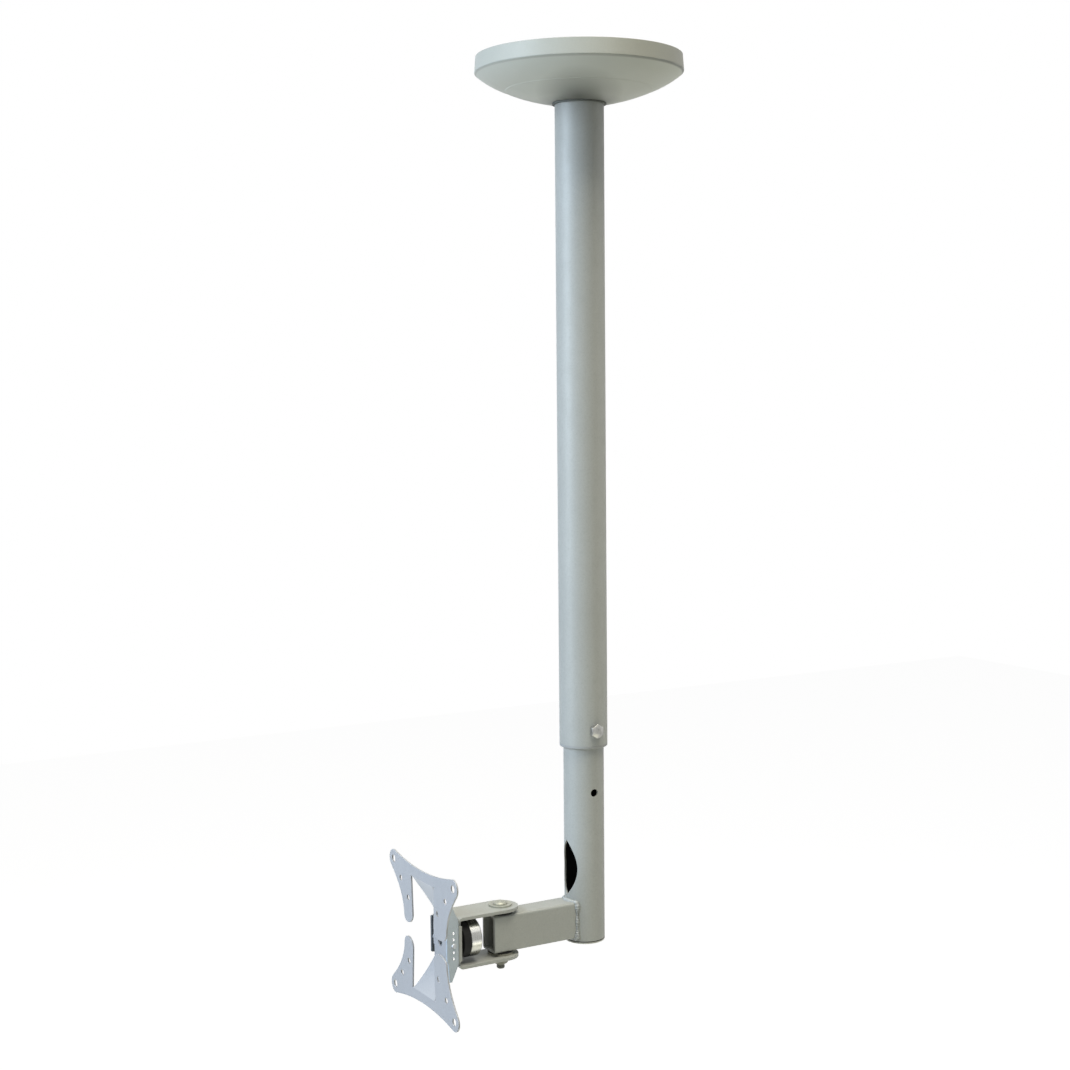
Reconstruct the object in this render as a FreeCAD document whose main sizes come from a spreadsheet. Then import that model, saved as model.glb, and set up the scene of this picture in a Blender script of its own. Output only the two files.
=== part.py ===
import FreeCAD, Part
import math
import os
import Sketcher

# Ceiling mount for a flat screen. Millimetres, +Z up, origin at the centre of
# the face that meets the ceiling. Everything hangs below it, and the arm, the
# swivel head and the screen plate face -Y. Levels named "_depth" are measured
# down from the ceiling, lengths named "_reach" are measured out along -Y from
# the axis of the pole.
SIZES = {
    # ceiling plate and its cover
    "plate_radius": 60.0,
    "plate_thickness": 4.0,
    "fixing_circle_radius": 45.0,
    "fixing_hole_radius": 4.2,
    "fixing_count": 4,
    "cover_top_radius": 79.5,
    "cover_edge_radius": 80.4,
    "cover_band": 11.7,
    "cover_shoulder": 0.8,
    "cover_crease_radius": 57.0,
    "cover_crease_depth": 25.0,
    "cover_crease_step": 0.35,
    "cover_flank_radius": 75.0,
    "cover_depth": 35.0,
    "cover_wall": 2.4,
    "cover_bowl_radius": 170.0,
    "ring_lip": 1.0,
    "ring_overlap": 1.4,
    # telescopic pole
    "outer_radius": 19.0,
    "inner_radius": 16.0,
    "tube_wall": 1.5,
    "outer_end_depth": 532.3,
    "inner_top_margin": 55.5,
    "inner_end_depth": 689.4,
    "index_pitch": 50.0,
    "index_count": 9,
    "index_hole_radius": 3.1,
    "lock_step_count": 7,
    "lock_setback": 11.9,
    "lock_bolt_radius": 3.0,
    "lock_head_radius": 5.77,
    "lock_head_height": 4.2,
    "lock_tip_gap": 0.3,
    "bush_length": 9.0,
    "bush_lip": 2.6,
    "guide_length": 22.0,
    "guide_lip": 2.0,
    "slide_clearance": 0.05,
    "outlet_depth": 631.2,
    "outlet_half_width": 10.0,
    "outlet_half_height": 22.0,
    "cap_thickness": 2.2,
    "cap_spigot": 10.0,
    # arm
    "axis_depth": 672.4,
    "arm_width": 20.0,
    "arm_height": 29.2,
    "arm_wall": 1.5,
    "arm_corner": 2.0,
    "arm_reach": 87.0,
    "sleeve_wall": 2.6,
    # swivel head
    "swivel_setback": 10.0,
    "swivel_bolt_radius": 3.0,
    "pin_clearance": 0.05,
    "clevis_width": 28.0,
    "clevis_sheet": 2.5,
    "clevis_gap": 3.0,
    "clevis_length": 43.3,
    "clevis_bend": 1.2,
    "relief_width": 2.0,
    "relief_height": 4.0,
    "face_gap": 0.2,
    "spacer_radius": 10.0,
    "washer_radius": 9.0,
    "washer_thickness": 1.4,
    "bolt_head_radius": 5.6,
    "bolt_head_height": 2.2,
    "nut_radius": 5.77,
    "nut_height": 6.4,
    "bolt_tip": 3.3,
    # roll joint
    "roll_bolt_radius": 5.0,
    "roll_head_radius": 7.0,
    "roll_head_height": 2.6,
    "roll_socket_radius": 3.2,
    "roll_socket_depth": 1.9,
    "disc_radius": 15.0,
    "disc_thickness": 9.6,
    "disc_edge": 0.8,
    "friction_thickness": 5.8,
    "collar_radius": 7.0,
    "collar_thickness": 1.8,
    # tilt bracket
    "bracket_sheet": 2.0,
    "bracket_half_width": 16.0,
    "bracket_back_half": 13.6,
    "bracket_rise": 2.2,
    "bracket_wing_half": 29.8,
    "bracket_wing_back": 7.1,
    "bracket_wing_front": 9.0,
    "bracket_nose_half": 14.0,
    "bracket_nose_step": 0.9,
    "bracket_depth": 11.0,
    "pivot_offset": 5.6,
    "pivot_radius": 1.6,
    "pivot_shoulder_radius": 2.9,
    "pivot_head_radius": 2.2,
    "pivot_head_height": 1.2,
    "mark_radius": 1.3,
    "mark_pitch": 4.9,
    # screen plate
    "screen_offset": 17.9,
    "screen_rise": 5.2,
    "screen_sheet": 1.2,
    "hole_large": 50.0,
    "hole_middle": 37.5,
    "hole_small": 25.0,
    "corner_hole_radius": 2.9,
    "inner_hole_radius": 2.25,
    "ear_radius": 7.2,
    "top_edge_sag": 5.4,
    "finger_tip_x": 25.8,
    "finger_tip_z": 13.6,
    "finger_tip_radius": 8.0,
    "flank_radius": 300.0,
    "slot_top": 43.8,
    "slot_side": 19.5,
    "slot_gap": 1.7,
    "bridge_recess": 14.4,
    "bridge_flat_half": 19.0,
    "waist_half": 9.6,
    "waist_straight": 14.0,
    "access_radius": 3.3,
    "lug_sheet": 2.0,
    "lug_root_low": 4.5,
    "lug_root_high": 10.5,
    "lug_overlap": 0.7,
    "lug_end_radius": 3.0,
}

doc = FreeCAD.newDocument("CeilingMount")
sheet = doc.addObject("Spreadsheet::Sheet", "Sizes")
for row, (alias, number) in enumerate(SIZES.items(), start=1):
    sheet.set("A%d" % row, alias)
    sheet.set("B%d" % row, repr(number))
    sheet.setAlias("B%d" % row, alias)
doc.recompute()


class Dim:
    """A dimension with its present value and the sheet formula that gives it."""

    def __init__(self, value, formula):
        self.value = float(value)
        self.formula = formula

    def join(self, other, sign, value):
        text = other.formula if isinstance(other, Dim) else repr(other)
        return Dim(value, "(%s %s %s)" % (self.formula, sign, text))

    def __add__(self, other):
        return self.join(other, "+", self.value + number_of(other))

    def __sub__(self, other):
        return self.join(other, "-", self.value - number_of(other))

    def __mul__(self, other):
        return self.join(other, "*", self.value * number_of(other))

    def __truediv__(self, other):
        return self.join(other, "/", self.value / number_of(other))

    def __neg__(self):
        return Dim(-self.value, "(0 - %s)" % self.formula)


def number_of(item):
    return item.value if isinstance(item, Dim) else float(item)


def root(item):
    return Dim(math.sqrt(item.value), "sqrt(%s)" % item.formula)


def size(alias):
    return Dim(sheet.get(alias), "Sizes.%s" % alias)


ZERO = Dim(0.0, "0")

# Levels and reaches that several pieces share.
axis_z = -size("axis_depth")
outer_bore = size("outer_radius") - size("tube_wall")
inner_bore = size("inner_radius") - size("tube_wall")
arm_half = size("arm_height") / 2
clevis_inner = arm_half + size("clevis_gap")
clevis_outer = clevis_inner + size("clevis_sheet")
swivel_reach = size("arm_reach") - size("swivel_setback")
clevis_reach = swivel_reach + size("clevis_length")
clevis_back = clevis_reach - size("clevis_sheet")
sleeve_bore = size("swivel_bolt_radius") + size("pin_clearance")
sleeve_radius = sleeve_bore + size("sleeve_wall")
collar_front = clevis_back - size("face_gap")
collar_back = collar_front - size("collar_thickness")
friction_back = collar_back - size("friction_thickness")
disc_back = friction_back - size("disc_thickness")
bracket_back = clevis_reach + size("face_gap")
bracket_face = bracket_back + size("bracket_sheet")
cheek_inner = size("bracket_half_width") - size("bracket_sheet")
pivot_reach = clevis_reach + size("pivot_offset")
screen_reach = pivot_reach + size("screen_offset")
bridge_front = screen_reach - size("bridge_recess")
bridge_back = bridge_front - size("screen_sheet")
lug_inner = size("waist_half") - size("lug_overlap")
lug_outer = lug_inner + size("lug_sheet")
screen_z = axis_z + size("screen_rise")
lock_depth = size("outer_end_depth") - size("lock_setback")
index_first_depth = lock_depth - size("index_pitch") * size("lock_step_count")
inner_top_depth = index_first_depth - size("inner_top_margin")


# Helpers for bodies, sketches and features.
def new_body(label):
    body = doc.addObject("PartDesign::Body", "Body_" + label)
    body.Label = label
    return body


def origin_part(body, role):
    return [item for item in body.Origin.OriginFeatures if item.Role == role][0]


def new_sketch(body, name, plane, lift=None):
    sketch = body.newObject("Sketcher::SketchObject", name)
    sketch.AttachmentSupport = [(origin_part(body, plane), "")]
    sketch.MapMode = "FlatFace"
    if lift is not None:
        sketch.AttachmentOffset.Base.z = lift.value
        sketch.setExpression(".AttachmentOffset.Base.z", lift.formula)
    return sketch


def bind(sketch, kind, *arguments):
    """Adds one dimension to a sketch and ties it to the sheet."""
    dim = arguments[-1]
    places = arguments[:-1]
    index = sketch.addConstraint(Sketcher.Constraint(kind, *places, dim.value))
    sketch.setExpression("Constraints[%d]" % index, dim.formula)


def arc_between(start, end, radius):
    """Short arc from start to end; a positive radius turns to the left."""
    chord = end - start
    half = chord.Length / 2
    rise = math.sqrt(max(radius * radius - half * half, 0.0))
    left = FreeCAD.Vector(-chord.y, chord.x, 0).normalize()
    centre = start + chord * 0.5 + left * (rise if radius > 0 else -rise)
    first, last = (start, end) if radius > 0 else (end, start)
    angles = [math.atan2(p.y - centre.y, p.x - centre.x) for p in (first, last)]
    circle = Part.Circle(centre, FreeCAD.Vector(0, 0, 1), abs(radius))
    return Part.ArcOfCircle(circle, angles[0], angles[1])


def outline(sketch, corners):
    """Closed outline. A corner is (x, y), or (x, y, radius) where an arc leads on."""
    points = [FreeCAD.Vector(c[0].value, c[1].value, 0) for c in corners]
    pieces = []
    for index, corner in enumerate(corners):
        start = points[index]
        end = points[(index + 1) % len(points)]
        if len(corner) == 3:
            geometry = sketch.addGeometry(arc_between(start, end, corner[2].value), False)
            forward = corner[2].value > 0
            pieces.append((geometry, 1 if forward else 2, 2 if forward else 1))
            radius = corner[2] if forward else -corner[2]
            bind(sketch, "Radius", geometry, radius)
        else:
            geometry = sketch.addGeometry(Part.LineSegment(start, end), False)
            pieces.append((geometry, 1, 2))
    for index, corner in enumerate(corners):
        geometry, first, last = pieces[index]
        before = pieces[index - 1]
        sketch.addConstraint(Sketcher.Constraint("Coincident", before[0], before[2], geometry, first))
        bind(sketch, "DistanceX", -1, 1, geometry, first, corner[0])
        bind(sketch, "DistanceY", -1, 1, geometry, first, corner[1])


def circle(sketch, x, y, radius):
    centre = FreeCAD.Vector(x.value, y.value, 0)
    shape = Part.Circle(centre, FreeCAD.Vector(0, 0, 1), radius.value)
    geometry = sketch.addGeometry(shape, False)
    bind(sketch, "Radius", geometry, radius)
    bind(sketch, "DistanceX", -1, 1, geometry, 3, x)
    bind(sketch, "DistanceY", -1, 1, geometry, 3, y)


def pad(body, sketch, length, reverse=False, middle=False):
    feature = body.newObject("PartDesign::Pad", "Pad")
    feature.Profile = sketch
    feature.Length = length.value
    feature.setExpression("Length", length.formula)
    feature.Reversed = reverse
    feature.Midplane = middle
    doc.recompute()
    return feature


def pocket(body, sketch, length, reverse=False, middle=False):
    before = body.Shape.Volume
    feature = body.newObject("PartDesign::Pocket", "Pocket")
    feature.Profile = sketch
    feature.Length = length.value
    feature.setExpression("Length", length.formula)
    feature.Reversed = reverse
    feature.Midplane = middle
    doc.recompute()
    if body.Shape.Volume > before - 1e-3:
        raise RuntimeError("%s: a pocket cuts nothing" % body.Label)
    return feature


def revolve(body, sketch, axis):
    feature = body.newObject("PartDesign::Revolution", "Revolution")
    feature.Profile = sketch
    feature.ReferenceAxis = (sketch, [axis])
    feature.Angle = 360
    doc.recompute()
    return feature


def primitive(kind, name, sizes, rotation=None, place=None):
    """A Part primitive whose sizes and place follow the sheet."""
    item = doc.addObject("Part::" + kind, name)
    if rotation is not None:
        axis, angle = rotation
        item.Placement = FreeCAD.Placement(FreeCAD.Vector(), FreeCAD.Rotation(axis, angle))
    for prop, dim in sizes.items():
        setattr(item, prop, dim.value)
        item.setExpression(prop, dim.formula)
    for letter, dim in (place or {}).items():
        item.setExpression(".Placement.Base." + letter, dim.formula)
    return item


ALONG_ARM = (FreeCAD.Vector(1, 0, 0), 90)
ALONG_X = (FreeCAD.Vector(0, 1, 0), 90)


def cut(label, base, tool):
    item = doc.addObject("Part::Cut", "Cut_" + label)
    item.Base = base
    item.Tool = tool
    item.Label = label
    return item


def fuse(label, shapes):
    item = doc.addObject("Part::MultiFuse", "Fuse_" + label)
    item.Shapes = shapes
    item.Label = label
    return item


def common(label, first, second):
    item = doc.addObject("Part::MultiCommon", "Common_" + label)
    item.Shapes = [first, second]
    item.Label = label
    return item


def group(label, shapes):
    item = doc.addObject("Part::Compound", "Group_" + label)
    item.Links = shapes
    item.Label = label
    return item


# Ceiling plate: a steel disc with a ring of screw holes and a cable hole.
def ceiling_plate():
    body = new_body("ceiling_plate")
    disc = new_sketch(body, "plate_disc", "XY_Plane")
    circle(disc, ZERO, ZERO, size("plate_radius"))
    circle(disc, ZERO, ZERO, inner_bore)
    pad(body, disc, size("plate_thickness"), reverse=True)
    hole = new_sketch(body, "plate_hole", "XY_Plane")
    circle(hole, size("fixing_circle_radius"), ZERO, size("fixing_hole_radius"))
    drilled = pocket(body, hole, size("plate_thickness") + 1)
    ring = body.newObject("PartDesign::PolarPattern", "plate_holes")
    ring.Originals = [drilled]
    ring.Axis = (origin_part(body, "Z_Axis"), [""])
    ring.Angle = 360
    ring.Occurrences = int(sheet.get("fixing_count"))
    ring.setExpression("Occurrences", "Sizes.fixing_count")
    body.Tip = ring
    return body


# Cover: a shallow dish with a straight band at the ceiling and a bowl that
# meets a rubber ring round the pole.
def ceiling_cover():
    body = new_body("ceiling_cover")
    wall = size("cover_wall")
    edge = size("cover_edge_radius")
    band = size("cover_band")
    shoulder = size("cover_shoulder")
    crease = size("cover_crease_radius")
    crease_z = size("cover_crease_depth")
    hole = size("outer_radius") + size("ring_lip") + size("slide_clearance")
    bottom = size("cover_depth")
    bowl = size("cover_bowl_radius")
    step = size("cover_crease_step")
    profile = new_sketch(body, "cover_profile", "XZ_Plane")
    outline(profile, [
        (size("cover_top_radius"), ZERO),
        (size("cover_top_radius") - wall, ZERO),
        (edge - wall, -(band - wall / 2)),
        (crease - wall / 2, -(crease_z - wall), -bowl),
        (hole, -(bottom - wall)),
        (hole, -bottom, bowl + wall),
        (crease - step, -(crease_z + step)),
        (crease, -crease_z, size("cover_flank_radius")),
        (edge - shoulder / 2, -(band + shoulder), shoulder),
        (edge, -band),
    ])
    revolve(body, profile, "V_Axis")
    return body


# Rubber ring that closes the gap between the cover and the pole and carries
# the cover's inner edge in its groove.
def cover_ring():
    body = new_body("cover_ring")
    inside = size("outer_radius")
    groove = inside + size("ring_lip")
    outside = groove + size("ring_overlap")
    lip = size("ring_lip")
    top = -(size("cover_depth") - size("cover_wall") - size("slide_clearance"))
    bottom = -(size("cover_depth") + size("slide_clearance"))
    profile = new_sketch(body, "ring_profile", "XZ_Plane")
    outline(profile, [
        (inside, top + lip),
        (inside, bottom - lip),
        (outside - lip / 2, bottom - lip),
        (outside - lip / 2, bottom),
        (groove, bottom),
        (groove, top),
        (outside, top + lip / 3),
        (outside, top + lip),
    ])
    revolve(body, profile, "V_Axis")
    return body


# Outer tube of the pole, welded under the ceiling plate, tapped for the bolt.
def outer_tube():
    body = new_body("outer_tube")
    section = new_sketch(body, "outer_section", "XY_Plane", -size("plate_thickness"))
    circle(section, ZERO, ZERO, size("outer_radius"))
    circle(section, ZERO, ZERO, outer_bore)
    pad(body, section, size("outer_end_depth") - size("plate_thickness"), reverse=True)
    hole = new_sketch(body, "lock_hole", "YZ_Plane")
    circle(hole, ZERO, -lock_depth, size("lock_bolt_radius"))
    pocket(body, hole, size("outer_radius") + 1, reverse=True)
    return body


# Plastic bush in the mouth of the outer tube, with a rounded lip under it.
def guide_bush():
    body = new_body("guide_bush")
    inside = size("inner_radius") + size("slide_clearance")
    mouth = -size("outer_end_depth")
    lip = size("bush_lip")
    rim = size("outer_radius")
    soft = lip / 2
    profile = new_sketch(body, "bush_profile", "XZ_Plane")
    outline(profile, [
        (inside, mouth + size("bush_length")),
        (inside, mouth - lip),
        (rim - soft, mouth - lip, soft),
        (rim, mouth - lip + soft),
        (rim, mouth),
        (outer_bore, mouth),
        (outer_bore, mouth + size("bush_length")),
    ])
    revolve(body, profile, "V_Axis")
    return body


# Bolt that locks the height: its hexagon head stands on the +X side.
def lock_bolt():
    reach = size("outer_radius") - size("inner_radius") - size("lock_tip_gap")
    head = primitive("Prism", "lock_head", {
        "Circumradius": size("lock_head_radius"),
        "Height": size("lock_head_height"),
    }, ALONG_X, {"x": size("outer_radius"), "z": -lock_depth})
    head.Polygon = 6
    dome = primitive("Sphere", "lock_dome", {
        "Radius": size("lock_head_radius") * 1.6,
    }, None, {"x": size("outer_radius") + size("lock_head_height") - size("lock_head_radius") * 1.56,
              "z": -lock_depth})
    rounded = common("lock_head_rounded", head, dome)
    shank = primitive("Cylinder", "lock_shank", {
        "Radius": size("lock_bolt_radius"),
        "Height": reach + size("lock_head_height") / 2,
    }, ALONG_X, {"x": size("inner_radius") + size("lock_tip_gap"), "z": -lock_depth})
    return fuse("lock_bolt", [rounded, shank])


# Inner tube with its row of index holes and the pointed cable outlet.
def inner_tube():
    body = new_body("inner_tube")
    section = new_sketch(body, "inner_section", "XY_Plane", -inner_top_depth)
    circle(section, ZERO, ZERO, size("inner_radius"))
    circle(section, ZERO, ZERO, inner_bore)
    pad(body, section, size("inner_end_depth") - inner_top_depth, reverse=True)
    slot = new_sketch(body, "cable_outlet", "XZ_Plane")
    wide = size("outlet_half_width")
    tall = size("outlet_half_height")
    curve = (wide * wide + tall * tall) / (wide * 2)
    middle = -size("outlet_depth")
    outline(slot, [
        (ZERO, middle - tall, curve),
        (ZERO, middle + tall, curve),
    ])
    pocket(body, slot, size("inner_radius") + 1, reverse=True)
    hole = new_sketch(body, "index_hole", "YZ_Plane")
    circle(hole, ZERO, -index_first_depth, size("index_hole_radius"))
    first = pocket(body, hole, size("inner_radius") + 1, reverse=True)
    row = body.newObject("PartDesign::LinearPattern", "index_row")
    row.Originals = [first]
    row.Direction = (origin_part(body, "Z_Axis"), [""])
    row.Reversed = True
    count = size("index_count")
    row.Length = (size("index_pitch") * (count - 1)).value
    row.setExpression("Length", (size("index_pitch") * (count - 1)).formula)
    row.Occurrences = int(sheet.get("index_count"))
    row.setExpression("Occurrences", "Sizes.index_count")
    body.Tip = row
    return body


# Plastic collar on the top of the inner tube, which runs in the outer tube.
def upper_guide():
    body = new_body("upper_guide")
    top = -inner_top_depth
    rim = outer_bore - size("slide_clearance")
    profile = new_sketch(body, "upper_profile", "XZ_Plane")
    outline(profile, [
        (inner_bore, top),
        (size("inner_radius"), top),
        (size("inner_radius"), top - size("guide_length")),
        (rim, top - size("guide_length")),
        (rim, top + size("guide_lip")),
        (inner_bore, top + size("guide_lip")),
    ])
    revolve(body, profile, "V_Axis")
    return body


# Plastic plug that closes the bottom of the inner tube.
def tube_cap():
    body = new_body("tube_cap")
    seat = -size("inner_end_depth")
    soft = size("cap_thickness") / 2
    profile = new_sketch(body, "cap_profile", "XZ_Plane")
    outline(profile, [
        (ZERO, seat - size("cap_thickness")),
        (size("inner_radius") - soft, seat - size("cap_thickness"), soft),
        (size("inner_radius"), seat - size("cap_thickness") + soft),
        (size("inner_radius"), seat),
        (inner_bore, seat),
        (inner_bore, seat + size("cap_spigot")),
        (inner_bore - size("tube_wall"), seat + size("cap_spigot")),
        (inner_bore - size("tube_wall"), seat),
        (ZERO, seat),
    ])
    revolve(body, profile, "V_Axis")
    return body


def rounded_box(sketch, half_x, low, high, corner):
    outline(sketch, [
        (half_x, low + corner),
        (half_x, high - corner, corner),
        (half_x - corner, high),
        (corner - half_x, high, corner),
        (-half_x, high - corner),
        (-half_x, low + corner, corner),
        (corner - half_x, low),
        (half_x - corner, low, corner),
    ])


# Arm: a rectangular tube coped to the pole, open at its far end.
def arm():
    body = new_body("arm")
    half = size("arm_width") / 2
    low = axis_z - arm_half
    high = axis_z + arm_half
    wall = size("arm_wall")
    section = new_sketch(body, "arm_section", "XZ_Plane")
    rounded_box(section, half, low, high, size("arm_corner"))
    rounded_box(section, half - wall, low + wall, high - wall, size("arm_corner") - wall / 2)
    pad(body, section, size("arm_reach"))
    cope = new_sketch(body, "arm_cope", "XY_Plane", low - 1)
    circle(cope, ZERO, ZERO, size("inner_radius"))
    pocket(body, cope, size("arm_height") + 2, reverse=True)
    seat = new_sketch(body, "sleeve_seat", "XY_Plane", low - 1)
    circle(seat, ZERO, -swivel_reach, sleeve_radius)
    pocket(body, seat, size("arm_height") + 2, reverse=True)
    return body


# Steel sleeve welded through the arm for the swivel bolt.
def arm_sleeve():
    body = new_body("arm_sleeve")
    section = new_sketch(body, "sleeve_section", "XY_Plane", axis_z - arm_half)
    circle(section, ZERO, -swivel_reach, sleeve_radius)
    circle(section, ZERO, -swivel_reach, sleeve_bore)
    pad(body, section, size("arm_height"))
    return body


# Clevis: a bent steel strip with rounded ends that holds the arm like a fork.
def clevis():
    body = new_body("clevis")
    rear = size("clevis_width") / 2 - swivel_reach
    front = -clevis_reach
    sheet_dim = size("clevis_sheet")
    inner = size("clevis_bend")
    outer = inner + sheet_dim
    low = axis_z - clevis_outer
    high = axis_z + clevis_outer
    side = new_sketch(body, "clevis_side", "YZ_Plane")
    outline(side, [
        (rear, high),
        (front + outer, high, outer),
        (front, high - outer),
        (front, low + outer, outer),
        (front + outer, low),
        (rear, low),
        (rear, low + sheet_dim),
        (front + outer, low + sheet_dim, -inner),
        (front + sheet_dim, low + outer),
        (front + sheet_dim, high - outer, -inner),
        (front + outer, high - sheet_dim),
        (rear, high - sheet_dim),
    ])
    pad(body, side, size("clevis_width"), middle=True)
    ends = new_sketch(body, "clevis_ends", "XY_Plane", low - 1)
    half = size("clevis_width") / 2
    centre = -swivel_reach
    for sign in (1, -1):
        outline(ends, [
            (ZERO + half * sign + sign, rear + 1),
            (ZERO, rear + 1),
            (ZERO, centre + half, half * -sign),
            (ZERO + half * sign, centre),
            (ZERO + half * sign + sign, centre),
        ])
    pocket(body, ends, clevis_outer * 2 + 2, reverse=True)
    bolt = new_sketch(body, "clevis_bolt_hole", "XY_Plane", low - 1)
    circle(bolt, ZERO, centre, size("swivel_bolt_radius"))
    pocket(body, bolt, clevis_outer * 2 + 2, reverse=True)
    roll = new_sketch(body, "clevis_roll_hole", "XZ_Plane")
    circle(roll, ZERO, axis_z, size("roll_bolt_radius") + size("pin_clearance"))
    pocket(body, roll, clevis_reach + 1, reverse=True)
    relief = new_sketch(body, "clevis_relief", "XZ_Plane", clevis_back - inner)
    top = high - sheet_dim
    bottom = low + sheet_dim
    tall = size("relief_height")
    for sign in (1, -1):
        edge = half * sign
        inward = edge - size("relief_width") * sign
        for level, step in ((top, tall), (bottom, -tall)):
            corners = [(edge + sign, level), (inward, level), (inward, level - step), (edge + sign, level - step)]
            outline(relief, corners)
    pocket(body, relief, size("clevis_sheet") + inner + 1, reverse=True)
    return body


def ring_on_bolt(label, radius, bore, low, height):
    body = new_body(label)
    section = new_sketch(body, label + "_section", "XY_Plane", low)
    circle(section, ZERO, -swivel_reach, radius)
    circle(section, ZERO, -swivel_reach, bore)
    pad(body, section, height)
    return body


# Two plastic spacers that keep the clevis off the arm.
def swivel_spacers():
    thickness = size("clevis_gap") - size("face_gap")
    radius = size("spacer_radius")
    bore = size("swivel_bolt_radius") + size("pin_clearance")
    rings = []
    for name, low in (("upper", axis_z + clevis_inner - thickness), ("lower", axis_z - clevis_inner)):
        disc = primitive("Cylinder", "spacer_disc_" + name, {"Radius": radius, "Height": thickness},
                         None, {"y": -swivel_reach, "z": low})
        hole = primitive("Cylinder", "spacer_hole_" + name, {"Radius": bore, "Height": thickness},
                         None, {"y": -swivel_reach, "z": low})
        rings.append(cut("spacer_" + name, disc, hole))
    return group("swivel_spacers", rings)


def swivel_washer():
    return ring_on_bolt("swivel_washer", size("washer_radius"), size("swivel_bolt_radius"),
                        axis_z + clevis_outer, size("washer_thickness"))


# Swivel bolt with a low round head above and its threaded tip below.
def swivel_bolt():
    body = new_body("swivel_bolt")
    seat = axis_z + clevis_outer + size("washer_thickness")
    head = size("bolt_head_height")
    tip = axis_z - clevis_outer - size("nut_height") - size("bolt_tip")
    radius = size("swivel_bolt_radius")
    reach = -swivel_reach
    chamfer = radius / 5
    profile = new_sketch(body, "bolt_profile", "YZ_Plane")
    outline(profile, [
        (reach, tip),
        (reach + radius - chamfer, tip),
        (reach + radius, tip + chamfer),
        (reach + radius, seat),
        (reach + size("bolt_head_radius"), seat),
        (reach + size("bolt_head_radius"), seat + head / 3, head * 3),
        (reach + size("bolt_head_radius") / 2, seat + head),
        (reach, seat + head),
    ])
    feature = body.newObject("PartDesign::Revolution", "Revolution")
    feature.Profile = profile
    line = profile.addGeometry(Part.LineSegment(FreeCAD.Vector(reach.value, tip.value - 5, 0),
                                                FreeCAD.Vector(reach.value, tip.value - 1, 0)), True)
    bind(profile, "DistanceX", -1, 1, line, 1, reach)
    bind(profile, "DistanceX", -1, 1, line, 2, reach)
    bind(profile, "DistanceY", -1, 1, line, 1, tip - 5)
    bind(profile, "DistanceY", -1, 1, line, 2, tip - 1)
    feature.ReferenceAxis = (profile, ["Axis0"])
    feature.Angle = 360
    doc.recompute()
    return body


def swivel_nut():
    low = axis_z - clevis_outer - size("nut_height")
    hexagon = primitive("Prism", "nut_hexagon", {
        "Circumradius": size("nut_radius"),
        "Height": size("nut_height"),
    }, None, {"y": -swivel_reach, "z": low})
    hexagon.Polygon = 6
    dome = primitive("Sphere", "nut_dome", {"Radius": size("nut_radius") * 1.7}, None,
                     {"y": -swivel_reach, "z": low + size("nut_radius") * 1.65})
    hole = primitive("Cylinder", "nut_hole", {
        "Radius": size("swivel_bolt_radius"),
        "Height": size("nut_height"),
    }, None, {"y": -swivel_reach, "z": low})
    return cut("swivel_nut", common("nut_rounded", hexagon, dome), hole)


def turned(label, corners):
    """A piece turned about the arm's axis; corners are (reach, radius)."""
    body = new_body(label)
    profile = new_sketch(body, label + "_profile", "YZ_Plane")
    outline(profile, [(-corner[0], axis_z + corner[1]) + tuple(corner[2:]) for corner in corners])
    line = profile.addGeometry(Part.LineSegment(FreeCAD.Vector(-5, axis_z.value, 0),
                                                FreeCAD.Vector(-1, axis_z.value, 0)), True)
    bind(profile, "DistanceX", -1, 1, line, 1, ZERO - 5)
    bind(profile, "DistanceX", -1, 1, line, 2, ZERO - 1)
    bind(profile, "DistanceY", -1, 1, line, 1, axis_z)
    bind(profile, "DistanceY", -1, 1, line, 2, axis_z)
    revolve(body, profile, "Axis0")
    return body


# Roll bolt: a broad low head in front of the bracket, shank through the clevis.
def roll_bolt():
    radius = size("roll_bolt_radius")
    head = size("roll_head_radius")
    front = bracket_face + size("roll_head_height")
    tail = disc_back - 1
    soft = size("roll_head_height") / 4
    body = turned("roll_bolt", [
        (tail, ZERO),
        (tail, radius - soft / 2),
        (tail + soft / 2, radius),
        (bracket_face, radius),
        (bracket_face, head),
        (front - soft, head, -soft),
        (front, head - soft),
        (front, ZERO),
    ])
    socket = new_sketch(body, "roll_socket", "XZ_Plane", front)
    corner = size("roll_socket_radius")
    rise = corner * 0.8660254
    outline(socket, [
        (corner, axis_z),
        (corner / 2, axis_z + rise),
        (-corner / 2, axis_z + rise),
        (-corner, axis_z),
        (-corner / 2, axis_z - rise),
        (corner / 2, axis_z - rise),
    ])
    pocket(body, socket, size("roll_socket_depth"))
    return body


def roll_disc():
    edge = size("disc_edge")
    return turned("roll_disc", [
        (disc_back, size("roll_bolt_radius")),
        (disc_back, size("disc_radius") - edge),
        (disc_back + edge, size("disc_radius")),
        (friction_back - edge, size("disc_radius")),
        (friction_back, size("disc_radius") - edge),
        (friction_back, size("roll_bolt_radius")),
    ])


def friction_washer():
    return turned("friction_washer", [
        (friction_back, size("roll_bolt_radius")),
        (friction_back, size("disc_radius")),
        (collar_back, size("disc_radius")),
        (collar_back, size("roll_bolt_radius")),
    ])


def roll_collar():
    return turned("roll_collar", [
        (collar_back, size("roll_bolt_radius")),
        (collar_back, size("collar_radius")),
        (collar_front, size("collar_radius")),
        (collar_front, size("roll_bolt_radius")),
    ])


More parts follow.
